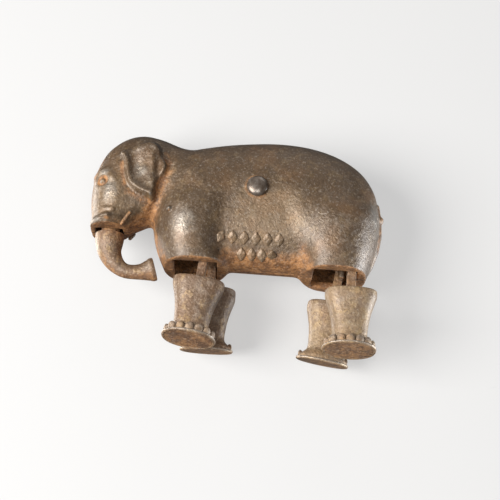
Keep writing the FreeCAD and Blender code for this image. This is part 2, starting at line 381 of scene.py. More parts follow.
def head_field(x, side, z):
    """Head with a flat underside."""
    outline = outline_distance(*side_view(x, z), HEAD_OUTLINE)
    head = pillow(outline[:, None, :], side, HEAD_HALF_WIDTH, HEAD_ROUNDING, 2.3, SHELL_STEP)
    return meet(head, HEAD_BOTTOM - z, 0.5)


def stump_field(x, side, z, pin_x):
    """Stump for a pair of legs, a little wider at its top."""
    rise = np.clip(z - STUMP_BOTTOM, 0, 30)
    half_length = STUMP_LENGTH / 2 + 0.10 * rise
    half_width = STUMP_HALF_WIDTH + 0.10 * rise
    lean = 0.06 if pin_x < 0 else 0
    centre = pin_x + STUMP_BEHIND_PIN - STUMP_LENGTH / 2 - lean * rise
    plan = oval(x - centre, side, half_length, half_width, 2.6)
    column = meet(plan, z - STUMP_TOP, 5.0)
    return meet(column, STUMP_BOTTOM - z, 0.7)


def muscle_field(x, side, z):
    """Shoulder and hip swellings."""
    shoulder = np.sqrt(((x + 18.4) / 9.4) ** 2 + (side / 13.3) ** 2 + ((z + 9.0) / 15.5) ** 2) - 1
    hip = np.sqrt(((x - 22.2) / 11.0) ** 2 + (side / 13.3) ** 2 + ((z + 8.0) / 16.5) ** 2) - 1
    return shoulder * 9.4, hip * 11.0


def solid_form(x, side, z):
    """Everything the casting fills, without relief."""
    form = barrel_field(x, side, z)
    shoulder, hip = muscle_field(x, side, z)
    form = join(form, shoulder, 1.6)
    form = join(form, hip, 1.8)
    form = join(form, stump_field(x, side, z, FRONT_PIN.x), 2.2)
    form = join(form, stump_field(x, side, z, REAR_PIN.x), 3.6)
    form = np.maximum(form, STUMP_BOTTOM - z)
    return join(form, head_field(x, side, z), 2.0)


def line_mound(x, z, points, radius):
    """Rounded ridge along a path on the side view."""
    return ease(1 - path_distance((x, z), rounded_path(points, closed=False, steps=4)) / radius, 0, 1)


def ridges(x, z, table):
    """Sum of ridges, each a height, a radius and a path."""
    return sum(height * line_mound(x, z, path, radius) for height, radius, path in table)


def hills(x, z, table):
    """Sum of mounds, each a height, a centre, its radii and perhaps a turn."""
    return sum(height * hill(x, z, *where) for height, *where in table)


EAR_RIDGES = [              # the rolled front rim, two folds, the rear fold and the groove behind it
    (0.95, 1.9, [(-38.2, 8.8), (-37.3, 6.9), (-36.6, 4.6), (-36.1, 2.2), (-35.3, 0.3), (-33.8, -1.2),
                 (-32.0, -2.2), (-29.8, -3.2)]),
    (-0.22, 2.4, [(-35.6, 9.4), (-34.2, 6.6), (-33.4, 3.6), (-32.4, 1.6)]),
    (0.25, 1.8, [(-36.6, 9.8), (-34.2, 10.8), (-31.6, 11.8), (-29.2, 11.4)]),
    (0.30, 2.0, [(-29.6, 8.0), (-29.2, 4.0), (-29.3, 1.0), (-29.2, -2.4)]),
    (-0.60, 1.8, [(-28.3, 8.2), (-27.9, 5.2), (-28.2, 2.2)]),
]
EAR_HILLS = [(-0.35, (-26.8, 4.6), (2.6, 3.4)), (0.55, (-26.5, 4.6), (1.6, 2.8)),
             (0.25, (-31.4, 10.6), (4.2, 3.4))]
FACE_RIDGES = [             # the brow, the lip's roll and its tail, and the wrinkle above them
    (0.75, 2.1, [(-45.4, 2.6), (-43.7, 3.6), (-42.0, 3.2), (-40.7, 1.6)]),
    (0.85, 1.6, [(-45.2, -10.9), (-43.8, -10.6), (-42.4, -10.2), (-41.0, -10.0)]),
    (0.60, 1.2, [(-41.6, -10.0), (-39.0, -10.2), (-36.8, -10.5)]),
    (0.30, 1.0, [(-43.4, -8.2), (-41.4, -7.7), (-39.4, -8.0)]),
]
CHEEK = (0.62, (-40.7, -2.2), (6.0, 7.2), 0.1)


def ear_relief(x, z):
    """Height of the ear above the head: a flap rolled at its front and lower edge, ridged and lobed behind."""
    flap = ease(-outline_distance(x, z, EAR_OUTLINE), -0.6, 0.9)
    height = 0.35 + 0.15 * np.clip(x + 35.2, 0, 6.2) + 0.35 * ease(z, 7.0, 12.5)
    return (height + ridges(x, z, EAR_RIDGES) + hills(x, z, EAR_HILLS)) * flap, flap


def eye_distance(x, z):
    """Distance from the middle of the eye, on the side view."""
    return np.hypot(x - EYE_PLACE[0], z - EYE_PLACE[1])


def face_relief(x, z):
    """Brow, eye ring, cheek, lip and snout ridges."""
    eye = eye_distance(x, z)
    height = ridges(x, z, FACE_RIDGES) + hills(x, z, [CHEEK])
    socket = ease(1.75 - eye, 0, 0.6)
    return height * (1 - 0.7 * socket) - 0.30 * socket + 0.75 * ease(1.0 - eye, 0, 0.7)


def body_relief(x, side, z):
    """Soft waist between shoulder and hip, creases beside it, and the small casting lump on the shoulder."""
    lump = np.hypot(x - PIT_PLACE[0], z - PIT_PLACE[1])
    height = 0.75 * ease(0.9 - lump, 0, 0.6) * ease(side, 6, 8)
    behind_shoulder = x + 10.4 - 0.09 * (z + 4.0)
    ahead_of_hip = 11.2 - 0.33 * (z + 7.0) - x
    low = ease(-z, -6.0, 9.0) * ease(z, -20.8, -17.0) * ease(side, 5.0, 9.0)
    height = height - 1.15 * ease(behind_shoulder, -3.2, 2.6) * ease(ahead_of_hip, -3.0, 3.4) * low
    neck = line_mound(x, z, [(-24.6, 10.0), (-25.6, 3.6), (-28.2, -4.0), (-29.8, -9.0)], 2.2)
    return height - 0.35 * neck * ease(side, 2.0, 4.5)


def casting_fields():
    """Outer surface and hollow of the left half, on one grid."""
    x, y, z = grid(SHELL_LOW, SHELL_HIGH, SHELL_STEP)
    side = np.abs(y)
    plain = solid_form(x, side, z)
    flat_x, flat_z = side_view(x, z)
    ear, flap = ear_relief(flat_x, flat_z)
    head = ear + face_relief(flat_x, flat_z) * (1 - flap)
    outer = plain - head[:, None, :] * ease(side, 2.0, 4.5)
    outer -= body_relief(flat_x[:, None, :], side, flat_z[:, None, :]) * (1 - flap[:, None, :])
    tail = path_distance((x, y * 0.62, z), [(px, 0, pz) for px, pz in TAIL]) - 0.85
    outer = join(outer, tail, 0.35)
    bump = np.sqrt((x - 35.2) ** 2 + (y * 0.7) ** 2 + (z + 3.0) ** 2) - 1.15
    outer = join(outer, bump, 0.4)
    hollow = plain + WALL
    hollow = np.maximum(hollow, STUMP_BOTTOM + STUMP_FLOOR - z)
    for pin in (FRONT_PIN, REAR_PIN):
        rear = pin.x + SLOT_BEHIND_PIN
        slot = block(x, y, z, (rear - SLOT_LENGTH, -SLOT_HALF_WIDTH, STUMP_BOTTOM - 4),
                     (rear, SLOT_HALF_WIDTH, SLOT_TOP))
        hollow = join(hollow, slot, 0.4)
        ring = np.hypot(x - pin.x, z - pin.z)
        hollow = np.minimum(hollow, np.maximum(ring - HUB_ROOM_RADIUS, side - HUB_ROOM_HALF_WIDTH))
    mouth = block(x, y, z, (TRUNK_PIN.x - MOUTH_AHEAD, -MOUTH_HALF_WIDTH, HEAD_BOTTOM - 4),
                  (TRUNK_PIN.x + MOUTH_BEHIND, MOUTH_HALF_WIDTH, HEAD_BOTTOM + 5))
    hollow = join(hollow, mouth, 0.5)
    return x, y, z, outer, hollow


def add_posts(x, y, z, shell, outer):
    """Posts for the rivet and the pins, and the pins' seats."""
    posts = [(0, 0, RIVET_POST, 0, RIVET_BORE, 20)]
    for pin, node in ((FRONT_PIN, "front_leg_pin"), (REAR_PIN, "rear_leg_pin"), (TRUNK_PIN, "trunk_pin")):
        start = (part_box(node)[1].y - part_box(node)[0].y) / 2 / MM - 1.6
        posts.append((pin.x, pin.z, PIN_POST, start, PIN_SEAT, start + SEAT_DEPTH))
    side = np.abs(y)
    for px, pz, radius, start, bore, end in posts:
        ring = np.hypot(x - px, z - pz)
        post = np.maximum(np.maximum(ring - radius, start - side), outer)
        shell = np.minimum(shell, post)
        shell = np.maximum(shell, -np.maximum(ring - bore, side - end))
    return shell


RUST_LINES = [              # strength, reach and path of each rusty line or crease
    (1.0, 4.2, [(-26.2, 6.4), (-27.2, 0.6), (-28.6, -4.2), (-29.4, -8.0), (-29.4, -12.0)]),
    (0.40, 4.8, [(-24.9, 8.0), (-25.7, 1.0), (-27.8, -6.0)]),
    (1.0, 2.6, [(-46.0, -13.9), (-40.0, -13.6), (-35.5, -12.4), (-30.0, -9.6)]),
    (0.74, 2.8, [(13.2, -15.4), (14.4, -18.4), (15.6, -21.0)]),
    (0.66, 3.2, [(-46.6, -9.0), (-47.0, -3.0), (-46.4, 3.0), (-44.6, 8.0)]),
    (0.9, 2.8, [(-29.5, -10.0), (-27.6, -15.0), (-25.0, -20.5)]),
    (0.8, 1.5, [(-38.3, 6.0), (-37.7, 2.4), (-36.8, -0.8)]),
    (0.72, 2.4, [(-36.0, -2.6), (-32.8, -4.0), (-29.4, -6.0)]),
    (0.55, 2.0, [(-26.2, 9.6), (-24.4, 6.6), (-24.6, 3.0)]),
]
# spots of grey metal that are wear and painted highlights together, laid where the lamps catch
RUBBED_AND_HIGHLIGHT_SPOTS = [            # cheek, brow, lip, lump, ear, shoulder, hip, rump and flank
    (0.60, (-41.0, -2.6), (4.6, 7.0), 0.1),
    (0.70, (-43.0, 3.1), (3.4, 2.2)),
    (0.80, (-44.4, -11.0), (3.4, 1.8)),
    (1.00, PIT_PLACE, (1.5, 1.5)),
    (0.50, (-33.2, 4.4), (5.0, 7.0), 0.2),
    (0.65, (-19.8, -11.5), (7.5, 9.5)),
    (0.40, (24.0, -10.0), (12.0, 11.0)),
    (0.70, (33.6, -5.0), (5.5, 12.0)),
    (0.30, (0.0, -9.0), (12.0, 9.0)),
]


def rust_zones(places, facing):
    """Where rust gathers: undersides, the neck crease, the mouth, the slots and the belly."""
    x, y, z = places.T
    side = np.abs(y)
    eye = eye_distance(x, z)
    spread = [strength * line_mound(x, z, path, reach) for strength, reach, path in RUST_LINES]
    spread += [
        0.9 * ease(-facing[:, 2], 0.45, 0.95),
        0.8 * line_mound(x, z, [(-34.8, -9.0), (-36.6, -11.6)], 0.9) * (side > 7.5),
        0.95 * ease(1.9 - eye, 0, 0.6) * ease(eye - 0.5, 0, 0.5) * (side > 4),
        0.95 * ease(-z, 14.0, 20.0) * ease(x, -11, -8) * ease(-x, -18, -12.5),
        0.60 * ease(4.3 - np.hypot(x, z), 0, 1.2) * (side > 9),
        0.55 * ease(x, 33.6, 35.0) * ease(2.6 - side, 0, 1.2),
        0.8 * ease(STUMP_BOTTOM + 0.7 - z, 0, 0.5),
    ]
    ear = ease(-outline_distance(x, z, EAR_OUTLINE), -0.2, 0.4) * (side > 5)
    return np.clip(np.max(spread, axis=0), 0, 1) * (1 - 0.85 * ear)


def rubbed_and_highlight_zones(x, z):
    """Where hands have scuffed the patina to grey metal; these spots also paint highlights where the lamps
    catch the cheek, brow, lip, lump, ear, shoulder, hip, rump and flank.
    """
    return np.max([strength * hill(x, z, *where) for strength, *where in RUBBED_AND_HIGHLIGHT_SPOTS], axis=0)


def pale_zones(x, z):
    """Where the brown is golden rather than dark."""
    low = ease(-z, -12.0, 2.0)
    return np.clip(low * (0.25 + 0.75 * hill(x, z, (4.0, -7.0), (20.0, 15.0)))
                   + 0.6 * hill(x, z, (-41.0, -2.0), (8.0, 12.0)), 0, 1)


def shell_piece(name, finish, right):
    """One half casting, skinned and marked for its finish."""
    x, y, z, outer, hollow = FIELDS
    tusk = path_distance((x, y, z), RIGHT_TUSK if right else LEFT_TUSK) - 0.45 - 0.2 * ease(z, -12.5, -9.5)
    outer = join(outer, tusk, 0.4)
    shell = np.maximum(outer, -hollow)
    shell = add_posts(x, y, z, shell, outer)
    shell = meet(shell, y + SEAM, 0.25)
    if right:
        for pin in (FRONT_PIN, REAR_PIN):
            web = block(x, y, z, (pin.x - WEB_FRONT, -WEB_REACH, STUMP_BOTTOM + 1),
                        (pin.x - WEB_BACK, -SEAM, 14))
            shell = np.minimum(shell, np.maximum(web, outer + 0.5))
    steps, places, faces, facing = skinned(shell, SHELL_LOW, SHELL_STEP)
    inside = (np.abs(sample(hollow, steps)) < 0.6) & (sample(outer, steps) < -0.4)
    fine = roundness(shell, steps, 3)
    broad = roundness(shell, steps, 7)
    hollows = ease(-fine, 0.04, 0.22) * 0.75 + ease(-broad, 0.06, 0.3) * 0.5
    rust = np.clip(np.maximum(rust_zones(places, facing), hollows), 0, 1)
    rust = np.where(inside, 0.9, rust)
    # grey metal on proud edges is wear; on the listed spots it is wear and painted highlight together
    wear_and_highlight = np.maximum(ease(fine, 0.10, 0.28), rubbed_and_highlight_zones(places[:, 0], places[:, 2])) * (1 - rust * 0.5)
    # painted shade: the inside of the body turns near black from 5 to 13 mm above the stump bottoms, where
    # little light reaches
    depth = ease(places[:, 2], STUMP_BOTTOM + 5.0, STUMP_BOTTOM + 13.0)
    deep = np.where(sample(outer, steps) < -0.5, depth, 0)
    marks = {"rust": rust, "wear_and_highlight": np.where(inside, 0, wear_and_highlight), "deep": deep,
             "pale": pale_zones(places[:, 0], places[:, 2])}
    if right:
        places = places * np.array([1, -1, 1])
        faces = faces[:, ::-1]
    return as_piece(name, places, faces, marks, finish)


# ---- Legs ----

LEG_STEP = 0.2

# swing in degrees from plumb, millimetres that the casting hangs lower and that its block's top is raised
Leg = namedtuple("Leg", "body swing drop raised pale")
LEGS = {
    "leg_front_left": Leg("front_left_leg", 6.2, 0.0, 0.0, 0.1),
    "leg_front_right": Leg("front_right_leg", 0.0, -0.7, 1.0, 0.15),
    "leg_rear_left": Leg("rear_left_leg", 0.0, 0.0, 0.0, 0.5),
    "leg_rear_right": Leg("rear_right_leg", 8.2, 0.9, 0.0, 0.5),
}


def leg_widths(height):
    """Half length and half width of the leg at a height above its sole."""
    heights = [-3.0, 0.0, 0.8, 1.5, 2.2, 2.9, 3.7, 5.2, 8.0, 10.5, 12.8, 14.6, 15.4, 18.0]
    lengths = [7.1, 7.1, 7.0, 6.5, 5.6, 5.0, 4.8, 4.8, 5.15, 5.65, 6.35, 6.95, 7.1, 7.1]
    widths = [5.3, 5.3, 5.25, 5.0, 4.7, 4.4, 4.3, 4.3, 4.45, 4.65, 4.95, 5.2, 5.3, 5.3]
    return np.interp(height, heights, lengths), np.interp(height, heights, widths)


def leg_field(x, y, z, drop, raised):
    """A left leg plumb below its pin, with its shank and hub."""
    height = z - (LEG_SOLE - drop)
    half_length, half_width = leg_widths(height)
    squareness = FOOT_SQUARENESS + 0.5 * ease(height, 1.5, 5.5)
    column = oval(x, y + LEG_MIDDLE_Y, half_length, half_width, squareness) * 0.93
    top = z - (LEG_TOP - drop + raised)
    column = meet(column, top, 0.5)
    sole = -(height * math.cos(SOLE_SLOPE) + (y + LEG_MIDDLE_Y) * math.sin(SOLE_SLOPE))
    column = meet(column, sole, 0.45)
    shank = block(x, y, z, (-SHANK_HALF, -SHANK_OUTER_Y, LEG_TOP - drop - 1), (SHANK_HALF, -SHANK_INNER_Y, 0))
    column = join(column, shank, 0.8)
    hub_middle, hub_half = (SHANK_OUTER_Y + HUB_INNER_Y) / 2, (SHANK_OUTER_Y - HUB_INNER_Y) / 2
    hub = np.maximum(np.hypot(x, z) - HUB_RADIUS, np.abs(y + hub_middle) - hub_half)
    column = join(column, hub, 0.4)
    return np.maximum(column, PIN_ROOM - np.hypot(x, z))


def leg_place(node, places):
    """Swings places of a leg drawn as a left one, plumb from its pin, to where the node's own leg hangs."""
    turn = math.radians(LEGS[node].swing)
    pin = FRONT_PIN if "front" in node else REAR_PIN
    x, y, z = places.T
    if node.endswith("right"):
        y = -y
    swung = np.stack([x * math.cos(turn) + z * math.sin(turn), y, z * math.cos(turn) - x * math.sin(turn)], 1)
    return swung + np.array(pin)


def leg_piece(node, finish):
    """One leg casting."""
    drop = LEGS[node].drop
    low = (-8.0, -12.6, LEG_SOLE - drop - 1.6)
    field = leg_field(*grid(low, (8.0, -0.6, 3.0), LEG_STEP), drop, LEGS[node].raised)
    steps, drawn, faces, facing = skinned(field, low, LEG_STEP)
    fine = roundness(field, steps, 4)
    height = drawn[:, 2] - (LEG_SOLE - drop)
    sole = ease(-facing[:, 2], 0.6, 0.95)
    shank = ease(drawn[:, 2], LEG_TOP - drop, LEG_TOP - drop + 1.5)
    rust = np.maximum(0.75 * sole, ease(-fine, 0.05, 0.25) * 0.7)
    rust = np.maximum(rust, 0.45 * ease(4.5 - height, 0, 3.5))
    rust = np.maximum(rust, 0.6 * shank)
    wear_and_highlight = 0.6 * ease(fine, 0.12, 0.3) * (1 - 0.5 * sole)
    if node.endswith("right"):
        faces = faces[:, ::-1]
    marks = {"rust": rust, "wear_and_highlight": wear_and_highlight, "pale": LEGS[node].pale}
    return as_piece(node + "_casting", leg_place(node, drawn), faces, marks, finish)


# ---- Node trees ----

class Tree:
    """A node tree made a node at a time."""

    def __init__(self, tree):
        self.tree = tree

    def node(self, kind, settings=None, inputs=None, output=0):
        """A node of a kind: its settings first, then the values or links of its sockets."""
        made = self.tree.nodes.new(kind)
        for setting, value in (settings or {}).items():
            setattr(made, setting, value)
        for socket, value in (inputs or {}).items():
            self.plug(made.inputs[socket], value)
        return Value(self, made.outputs[output])

    def plug(self, socket, value):
        """Links a value to a socket, or sets it."""
        if isinstance(value, Value):
            self.tree.links.new(value.socket, socket)
        else:
            socket.default_value = value

    def maths(self, operation, a, b=0.0, clamp=False):
        """A sum on numbers."""
        return self.node("ShaderNodeMath", {"operation": operation, "use_clamp": clamp}, {0: a, 1: b})


def sum_method(operation, turned=False):
    """A method that adds a Math node to the value's tree, with the value second if it is turned."""
    def method(value, other=0.0):
        a, b = (other, value) if turned else (value, other)
        return value.owner.maths(operation, a, b)
    return method


class Value:
    """A socket that does sums: an expression on it adds its Math nodes."""

    def __init__(self, owner, socket):
        self.owner = owner
        self.socket = socket

    __add__, __radd__ = sum_method("ADD"), sum_method("ADD", True)
    __sub__, __rsub__ = sum_method("SUBTRACT"), sum_method("SUBTRACT", True)
    __mul__, __rmul__ = sum_method("MULTIPLY"), sum_method("MULTIPLY", True)
    __truediv__ = sum_method("DIVIDE")
    __pow__ = sum_method("POWER")
    __abs__ = sum_method("ABSOLUTE")

    def capped(self):
        """The value, kept from 0 to 1."""
        return self.owner.maths("ADD", self, 0.0, True)

    def beside(self, output):
        """Another output of the same node."""
        return Value(self.owner, self.socket.node.outputs[output])


# ---- Geometry Nodes ----

class Growth(Tree):
    """A Geometry Nodes tree with named inputs."""

    def __init__(self, name):
        super().__init__(bpy.data.node_groups.new(name, "GeometryNodeTree"))
        for way in ("INPUT", "OUTPUT"):
            self.tree.interface.new_socket("Geometry", in_out=way, socket_type="NodeSocketGeometry")
        self.start = self.node("NodeGroupInput")
        self.exit = self.tree.nodes.new("NodeGroupOutput")
        self.sizes = {}

    def size(self, name, value, kind="NodeSocketFloat"):
        """A named input, with the value it is to have."""
        item = self.tree.interface.new_socket(name, in_out="INPUT", socket_type=kind)
        self.sizes[item.identifier] = value
        return self.start.beside(name)

    def make(self, kind, output=0, **inputs):
        """A geometry node, its sockets named with underscores for spaces."""
        inputs = {socket.replace("_", " "): value for socket, value in inputs.items()}
        return self.node("GeometryNode" + kind, None, inputs, output)

    def grow(self, start, result, finish, name):
        """Ends the tree, runs it on a start object and gives the plain mesh it makes."""
        smooth = self.make("SetShadeSmooth", Geometry=result)
        real = self.make("RealizeInstances", Geometry=smooth)
        coated = self.make("SetMaterial", Geometry=real, Material=finish)
        self.plug(self.exit.inputs["Geometry"], coated)
        modifier = start.modifiers.new("growth", "NODES")
        modifier.node_group = self.tree
        for identifier, value in self.sizes.items():
            modifier[identifier] = value
        ready = start.evaluated_get(bpy.context.evaluated_depsgraph_get())
        mesh = bpy.data.meshes.new_from_object(ready)
        mesh.name = name
        bpy.data.objects.remove(start)
        return in_scene(name, mesh)


def curve_object(name, points):
    """A smooth open curve through control points in millimetres from the rivet."""
    data = bpy.data.curves.new(name, "CURVE")
    data.dimensions = "3D"
    spline = data.splines.new("NURBS")
    spline.points.add(len(points) - 1)
    for point, place in zip(spline.points, points):
        point.co = (*to_metres(place), 1)
    spline.order_u = 3
    spline.use_endpoint_u = True
    spline.resolution_u = 16
    return in_scene(name, data)


def vectors(layer, name):
    """Places or normals of a mesh's vertices, as an array."""
    values = np.zeros(len(layer) * 3, np.float32)
    layer.foreach_get(name, values)
    return values.reshape(-1, 3).astype(float)


TRUNK_LINE = [(-40.4, -12.5), (-40.4, -15.0), (-40.0, -18.0), (-38.2, -21.0), (-35.4, -23.0), (-31.8, -23.0),
              (-29.4, -22.5), (-27.0, -21.7)]
TRUNK_RADII = [(0.0, 1.04), (0.06, 1.03), (0.2, 0.90), (0.40, 0.68), (0.58, 0.53), (0.76, 0.54), (0.90, 0.72),
               (0.975, 0.84), (1.0, 0.76)]
TRUNK_RADIUS = 3.9
NUB_PLACE = (-41.9, -0.6, -19.2)
WIDEST = 1.2                # the most that the radius may grow by


def trunk_piece(finish):
    """Curled trunk swept along its middle line, below its neck."""
    growth = Growth("trunk_sweep")
    radius = growth.size("Trunk radius", TRUNK_RADIUS * MM)
    sides = growth.size("Sides", 72, "NodeSocketInt")
    rings = growth.size("Rings", 220, "NodeSocketInt")
    line = growth.make("ResampleCurve", Curve=growth.start, Count=rings)
    along = growth.make("SplineParameter")
    taper = growth.tree.nodes.new("ShaderNodeFloatCurve")
    stops = taper.mapping.curves[0].points
    for number, (place, value) in enumerate(TRUNK_RADII):
        stop = stops[number] if number < 2 else stops.new(place, value)
        stop.location = (place, value / WIDEST)
    taper.mapping.update()
    growth.plug(taper.inputs["Value"], along)
    wide = Value(growth, taper.outputs[0]) * WIDEST
    profile = growth.make("CurvePrimitiveCircle", Radius=radius, Resolution=sides)
    sweep = growth.make("CurveToMesh", Curve=line, Profile_Curve=profile, Scale=wide, Fill_Caps=True)
    path = curve_object("trunk_line", [(x, 0, z) for x, z in TRUNK_LINE])
    return growth.grow(path, sweep, finish, "trunk_casting")


def trunk_neck_piece(finish):
    """Neck of the trunk inside the head, with the eye that hangs on the pin."""
    low = (-3.4, -3.8, -6.6)
    x, y, z = grid(low, (3.4, 3.8, 3.4), LEG_STEP)
    column = np.maximum(np.maximum(np.hypot(x, y) - 2.6, z), -6.2 - z)
    eye = np.maximum(np.hypot(x, z) - 2.5, np.abs(y) - 3.0)
    field = np.maximum(join(column, eye, 0.4), PIN_ROOM - np.hypot(x, z))
    steps, faces = skin(field)
    places = steps * LEG_STEP + low + np.array(TRUNK_PIN)
    return as_piece("trunk_neck", places, faces, {"rust": 0.8, "pale": 0.0}, finish)


def trunk_nub_piece(finish):
    """Stub of the casting's feed, left on the outside of the trunk."""
    growth = Growth("trunk_nub")
    radius = growth.size("Nub radius", 0.62 * MM)
    blank = growth.make("MeshIcoSphere", Radius=radius, Subdivisions=4)
    placed = growth.make("Transform", Geometry=blank, Translation=to_metres(NUB_PLACE), Scale=(1.3, 0.9, 0.8))
    return growth.grow(in_scene("nub_start", bpy.data.meshes.new("nub_start")), placed, finish, "trunk_nub")


# ---- Finishes ----

class Finish(Tree):
    """A material whose nodes are made one at a time."""

    def __init__(self, name):
        self.material = bpy.data.materials.new(name)
        self.material.use_nodes = True
        super().__init__(self.material.node_tree)
        self.shader = self.tree.nodes["Principled BSDF"]
        self.coords = self.node("ShaderNodeTexCoord", output="Object")

    def noise(self, size, detail=3.0, roughness=0.55, stretch=None):
        """Cloudy noise whose blotches are about size millimetres across, from 0 to 1."""
        place = self.coords
        if stretch:
            place = self.node("ShaderNodeMapping", inputs={"Vector": place, "Scale": stretch})
        return self.node("ShaderNodeTexNoise", inputs={
            "Vector": place, "Scale": 1000.0 / size, "Detail": detail, "Roughness": roughness})

    def pores(self, size):
        """Distance from the nearest of scattered points about size millimetres apart."""
        return self.node("ShaderNodeTexVoronoi", {"feature": "F1"}, {
            "Vector": self.coords, "Scale": 1000.0 / size, "Randomness": 1.0})

    def mark(self, name):
        """A named attribute of the piece."""
        return self.node("ShaderNodeAttribute", {"attribute_name": name}, output="Fac")

    def step(self, value, low, high, out_low=0.0, out_high=1.0):
        """Smooth change from one number to another."""
        return self.node("ShaderNodeMapRange", {"interpolation_type": "SMOOTHSTEP"}, {
            "Value": value, "From Min": low, "From Max": high, "To Min": out_low, "To Max": out_high})

    def blend(self, share, a, b):
        """Colour b over colour a."""
        return self.node("ShaderNodeMix", {"data_type": "RGBA"}, {0: share, 6: a, 7: b}, output=2)

    def dent(self, height, reach, below=None):
        """Bump of a height of 0 to 1, reach millimetres deep, over another bump."""
        inputs = {"Height": height, "Distance": reach * MM, "Strength": 1.0}
        if below is not None:
            inputs["Normal"] = below
        return self.node("ShaderNodeBump", inputs=inputs)

    def coat(self, **values):
        """Sets or links the shader's sockets, named with underscores for spaces."""
        for socket, value in values.items():
            self.plug(self.shader.inputs[socket.replace("_", " ")], value)
        return self.material


BLACK = (0.0, 0.0, 0.0)


def shade(*channels):
    """A colour that doesn't let light through."""
    return (*channels, 1.0)


OCHRE = shade(0.46, 0.30, 0.12)
# painted shadow colour for the inside of the body
DEEP_SHADOW = shade(0.030, 0.011, 0.006)


def between(a, b, share):
    """A colour part of the way from colour a to colour b."""
    return shade(*((1 - share) * one + share * other for one, other in zip(a, b)))


def iron_finish(name, patina, brown, metal, rust_light, rust_dark, rustiness, sheen, grain, mottling):
    """Old cast iron: brown patina with grey metal where it is scuffed and where highlights are painted, rust
    where it is sheltered, and painted near-black shade inside the body.
    """
    finish = Finish(name)
    rust = finish.mark("rust")
    wear_and_highlight = finish.mark("wear_and_highlight")
    deep = finish.mark("deep")
    broad = finish.noise(16.0, 3.0, 0.5)
    patchy = finish.noise(5.0, 4.0, 0.6)
    mottle = finish.noise(1.8, 4.0, 0.65)
    grit = finish.noise(0.65, 3.0, 0.75)
    pores = finish.pores(1.3)
    rust_spread = finish.step(rust + (patchy - 0.5) * 0.7 + (mottle - 0.5) * 0.6 + (rustiness - 0.5),
                              0.2, 0.95)
    stain = finish.step((broad - 0.5) * 0.7 + (patchy - 0.5) * 0.6 + (mottle - 0.5) * 0.8
                        + finish.mark("pale") * 0.7 + 0.15, 0.2, 0.8)
    # share of grey metal: wear on edges, and painted highlights on lit spots
    wear_and_highlight_share = finish.step(wear_and_highlight * 1.1 + (mottle - 0.5) * 0.9 + (broad - 0.5) * 0.6, 0.3, 0.85)
    wear_and_highlight_share = wear_and_highlight_share * (1 - rust_spread)
    rust_colour = finish.blend(finish.step(mottle + (grit - 0.5) * 0.5 + (patchy - 0.5) * 0.6, 0.32, 0.68),
                               shade(*rust_dark), shade(*rust_light))
    dark_pits = finish.step(pores, 0.14, 0.32, 1.0, 0.0) * finish.step(mottle, 0.5, 0.66)
    base = finish.blend(stain, shade(*patina), shade(*brown))
    for share, colour in (
            # grey metal: wear, and painted highlights on lit spots
            (wear_and_highlight_share * 0.8, shade(*metal)),
            (finish.step(finish.noise(3.4, 4.0, 0.65), 0.5, 0.62) * mottling, between(metal, patina, 0.45)),
            (finish.step(finish.noise(2.6, 4.0, 0.7), 0.52, 0.62) * mottling, OCHRE),
            (rust_spread * 0.88, rust_colour),
            (dark_pits * 0.5, between(BLACK, patina, 0.35)),
            (finish.step(grit, 0.53, 0.68) * 0.40, shade(*metal)),
            (finish.step(grit, 0.47, 0.32) * 0.60, between(BLACK, patina, 0.5)),
            (finish.step(finish.noise(8.0, 3.0, 0.55), 0.46, 0.68) * 0.14,
             between(rust_light, rust_dark, 0.3)),
            # painted shade inside the body, above the slots
            (deep * 0.9, DEEP_SHADOW)):
        base = finish.blend(share, base, colour)
    rough = (sheen + (patchy - 0.5) * 0.2 + (grit - 0.5) * 0.25 + rust_spread * 0.28 - wear_and_highlight_share * 0.08
             + deep * 0.3).capped()
    metallic = ((0.30 + wear_and_highlight_share * 0.35 + (broad - 0.5) * 0.2) * (1 - rust_spread * 0.9)).capped()
    bump = None
    for height, reach in (
            (finish.noise(2.2, 3.0, 0.6), 0.12 * grain),
            (finish.noise(0.7, 3.0, 0.65), 0.10 * grain),
            (finish.step(pores, 0.08, 0.3) * finish.step(mottle, 0.40, 0.6), 0.05 * grain),
            (grit, 0.05 * grain),
            (rust_spread * mottle, 0.10)):
        bump = finish.dent(height, reach, bump)
    oiled = (0.28 * (1 - rust_spread)).capped()
    return finish.coat(Base_Color=base, Roughness=rough, Metallic=metallic, Normal=bump,
                       Specular_IOR_Level=0.65, Coat_Weight=oiled, Coat_Roughness=0.42)


DARK_CASTING = iron_finish(
    "dark_casting", patina=(0.098, 0.059, 0.030), brown=(0.190, 0.124, 0.067), metal=(0.37, 0.33, 0.285),
    rust_light=(0.44, 0.205, 0.070), rust_dark=(0.190, 0.078, 0.024), rustiness=0.44, sheen=0.46,
    grain=1.15, mottling=0.10)
WORN_CASTING = iron_finish(
    "worn_casting", patina=(0.160, 0.096, 0.054), brown=(0.320, 0.228, 0.132), metal=(0.48, 0.41, 0.34),
    rust_light=(0.42, 0.210, 0.082), rust_dark=(0.150, 0.060, 0.024), rustiness=0.46, sheen=0.54,
    grain=1.4, mottling=0.34)


def rivet_finish():
    """Hammered iron, darker than the casting."""
    finish = Finish("rivet_iron")
    patchy = finish.noise(2.6, 4.0, 0.6)
    grit = finish.noise(0.5, 3.0, 0.6)
    bright = finish.step(patchy, 0.48, 0.66)
    base = finish.blend(finish.step(patchy, 0.32, 0.6), shade(0.105, 0.075, 0.055), shade(0.20, 0.160, 0.130))
    base = finish.blend(bright * 0.55, base, shade(0.40, 0.37, 0.34))
    rough = (0.33 + (grit - 0.5) * 0.25 - bright * 0.06).capped()
    low = finish.dent(finish.noise(2.4, 2.0, 0.5), 0.05)
    fine = finish.dent(grit, 0.03, low)
    return finish.coat(Base_Color=base, Roughness=rough, Metallic=0.6, Normal=fine, Coat_Weight=0.2)


